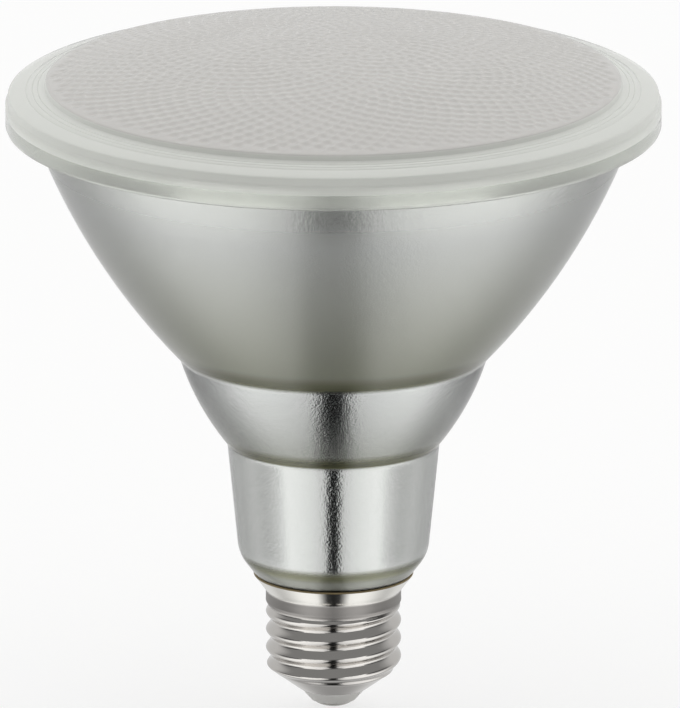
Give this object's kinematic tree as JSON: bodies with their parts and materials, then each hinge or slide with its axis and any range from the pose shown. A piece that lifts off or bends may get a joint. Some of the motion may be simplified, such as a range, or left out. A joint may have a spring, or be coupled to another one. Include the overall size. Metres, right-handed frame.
{
  "type": "par spotlight bulb",
  "caption": "reflector spotlight lamp with a stepped silvered glass body, dimpled domed lens with a flanged rim, and a nickel-plated screw cap",
  "frame": {"origin": "foot of the centre contact, on the lamp's axis, lowest point of the lamp as it stands cap down", "axes": "+Z along the lamp's axis from the contact to the lens; the lamp is round about Z, and +X and +Y are square to it, with the driver board in the XZ plane"},
  "size_m": [0.1262, 0.1262, 0.1307],
  "materials": {
    "silvered_glass": "pressed glass, aluminised inside, fine orange-peel surface",
    "lens_glass": "pressed clear glass, dimpled on the disc",
    "glue": "cured cream adhesive",
    "nickel_plate": "nickel-plated drawn brass sheet",
    "cement": "matt capping cement",
    "insulator_plastic": "moulded light grey plastic",
    "contact_metal": "nickel-plated rivet",
    "spreader_aluminium": "stamped, mill finish",
    "white_board": "aluminium board with white solder resist",
    "led_package": "yellow phosphor in a white package",
    "screw_steel": "zinc-plated steel",
    "connector_plastic": "moulded white nylon",
    "sleeve_plastic": "moulded white plastic",
    "board_laminate": "glass laminate with green resist",
    "can_sleeve": "shrunk black sleeve on an aluminium can",
    "ferrite": "sintered ferrite",
    "coil_tape": "yellow polyester tape over the coil",
    "film_box": "moulded yellow box",
    "chip_epoxy": "moulded black epoxy",
    "fuse_ceramic": "lacquered ceramic rod",
    "varistor_epoxy": "dipped blue epoxy",
    "live_insulation": "red wire insulation",
    "neutral_insulation": "white wire insulation",
    "output_insulation": "dark wire insulation"
  },
  "bodies": {
    "root": {"reflector_body": "silvered_glass", "front_lens": "lens_glass", "lens_adhesive": "glue", "screw_shell": "nickel_plate", "cap_cement": "cement", "cap_insulator": "insulator_plastic", "centre_contact": "contact_metal", "heat_spreader": "spreader_aluminium", "led_board": "white_board", "led_chips": "led_package", "board_screws": "screw_steel", "board_connector": "connector_plastic", "driver_sleeve": "sleeve_plastic", "driver_board": "board_laminate", "bulk_capacitor": "can_sleeve", "output_capacitor": "can_sleeve", "transformer_core": "ferrite", "transformer_winding": "coil_tape", "film_capacitor": "film_box", "line_choke": "ferrite", "bridge_rectifier": "chip_epoxy", "driver_chip": "chip_epoxy", "fuse_resistor": "fuse_ceramic", "varistor": "varistor_epoxy", "live_wire": "live_insulation", "neutral_wire": "neutral_insulation", "output_wires": "output_insulation"}
  },
  "joints": []
}
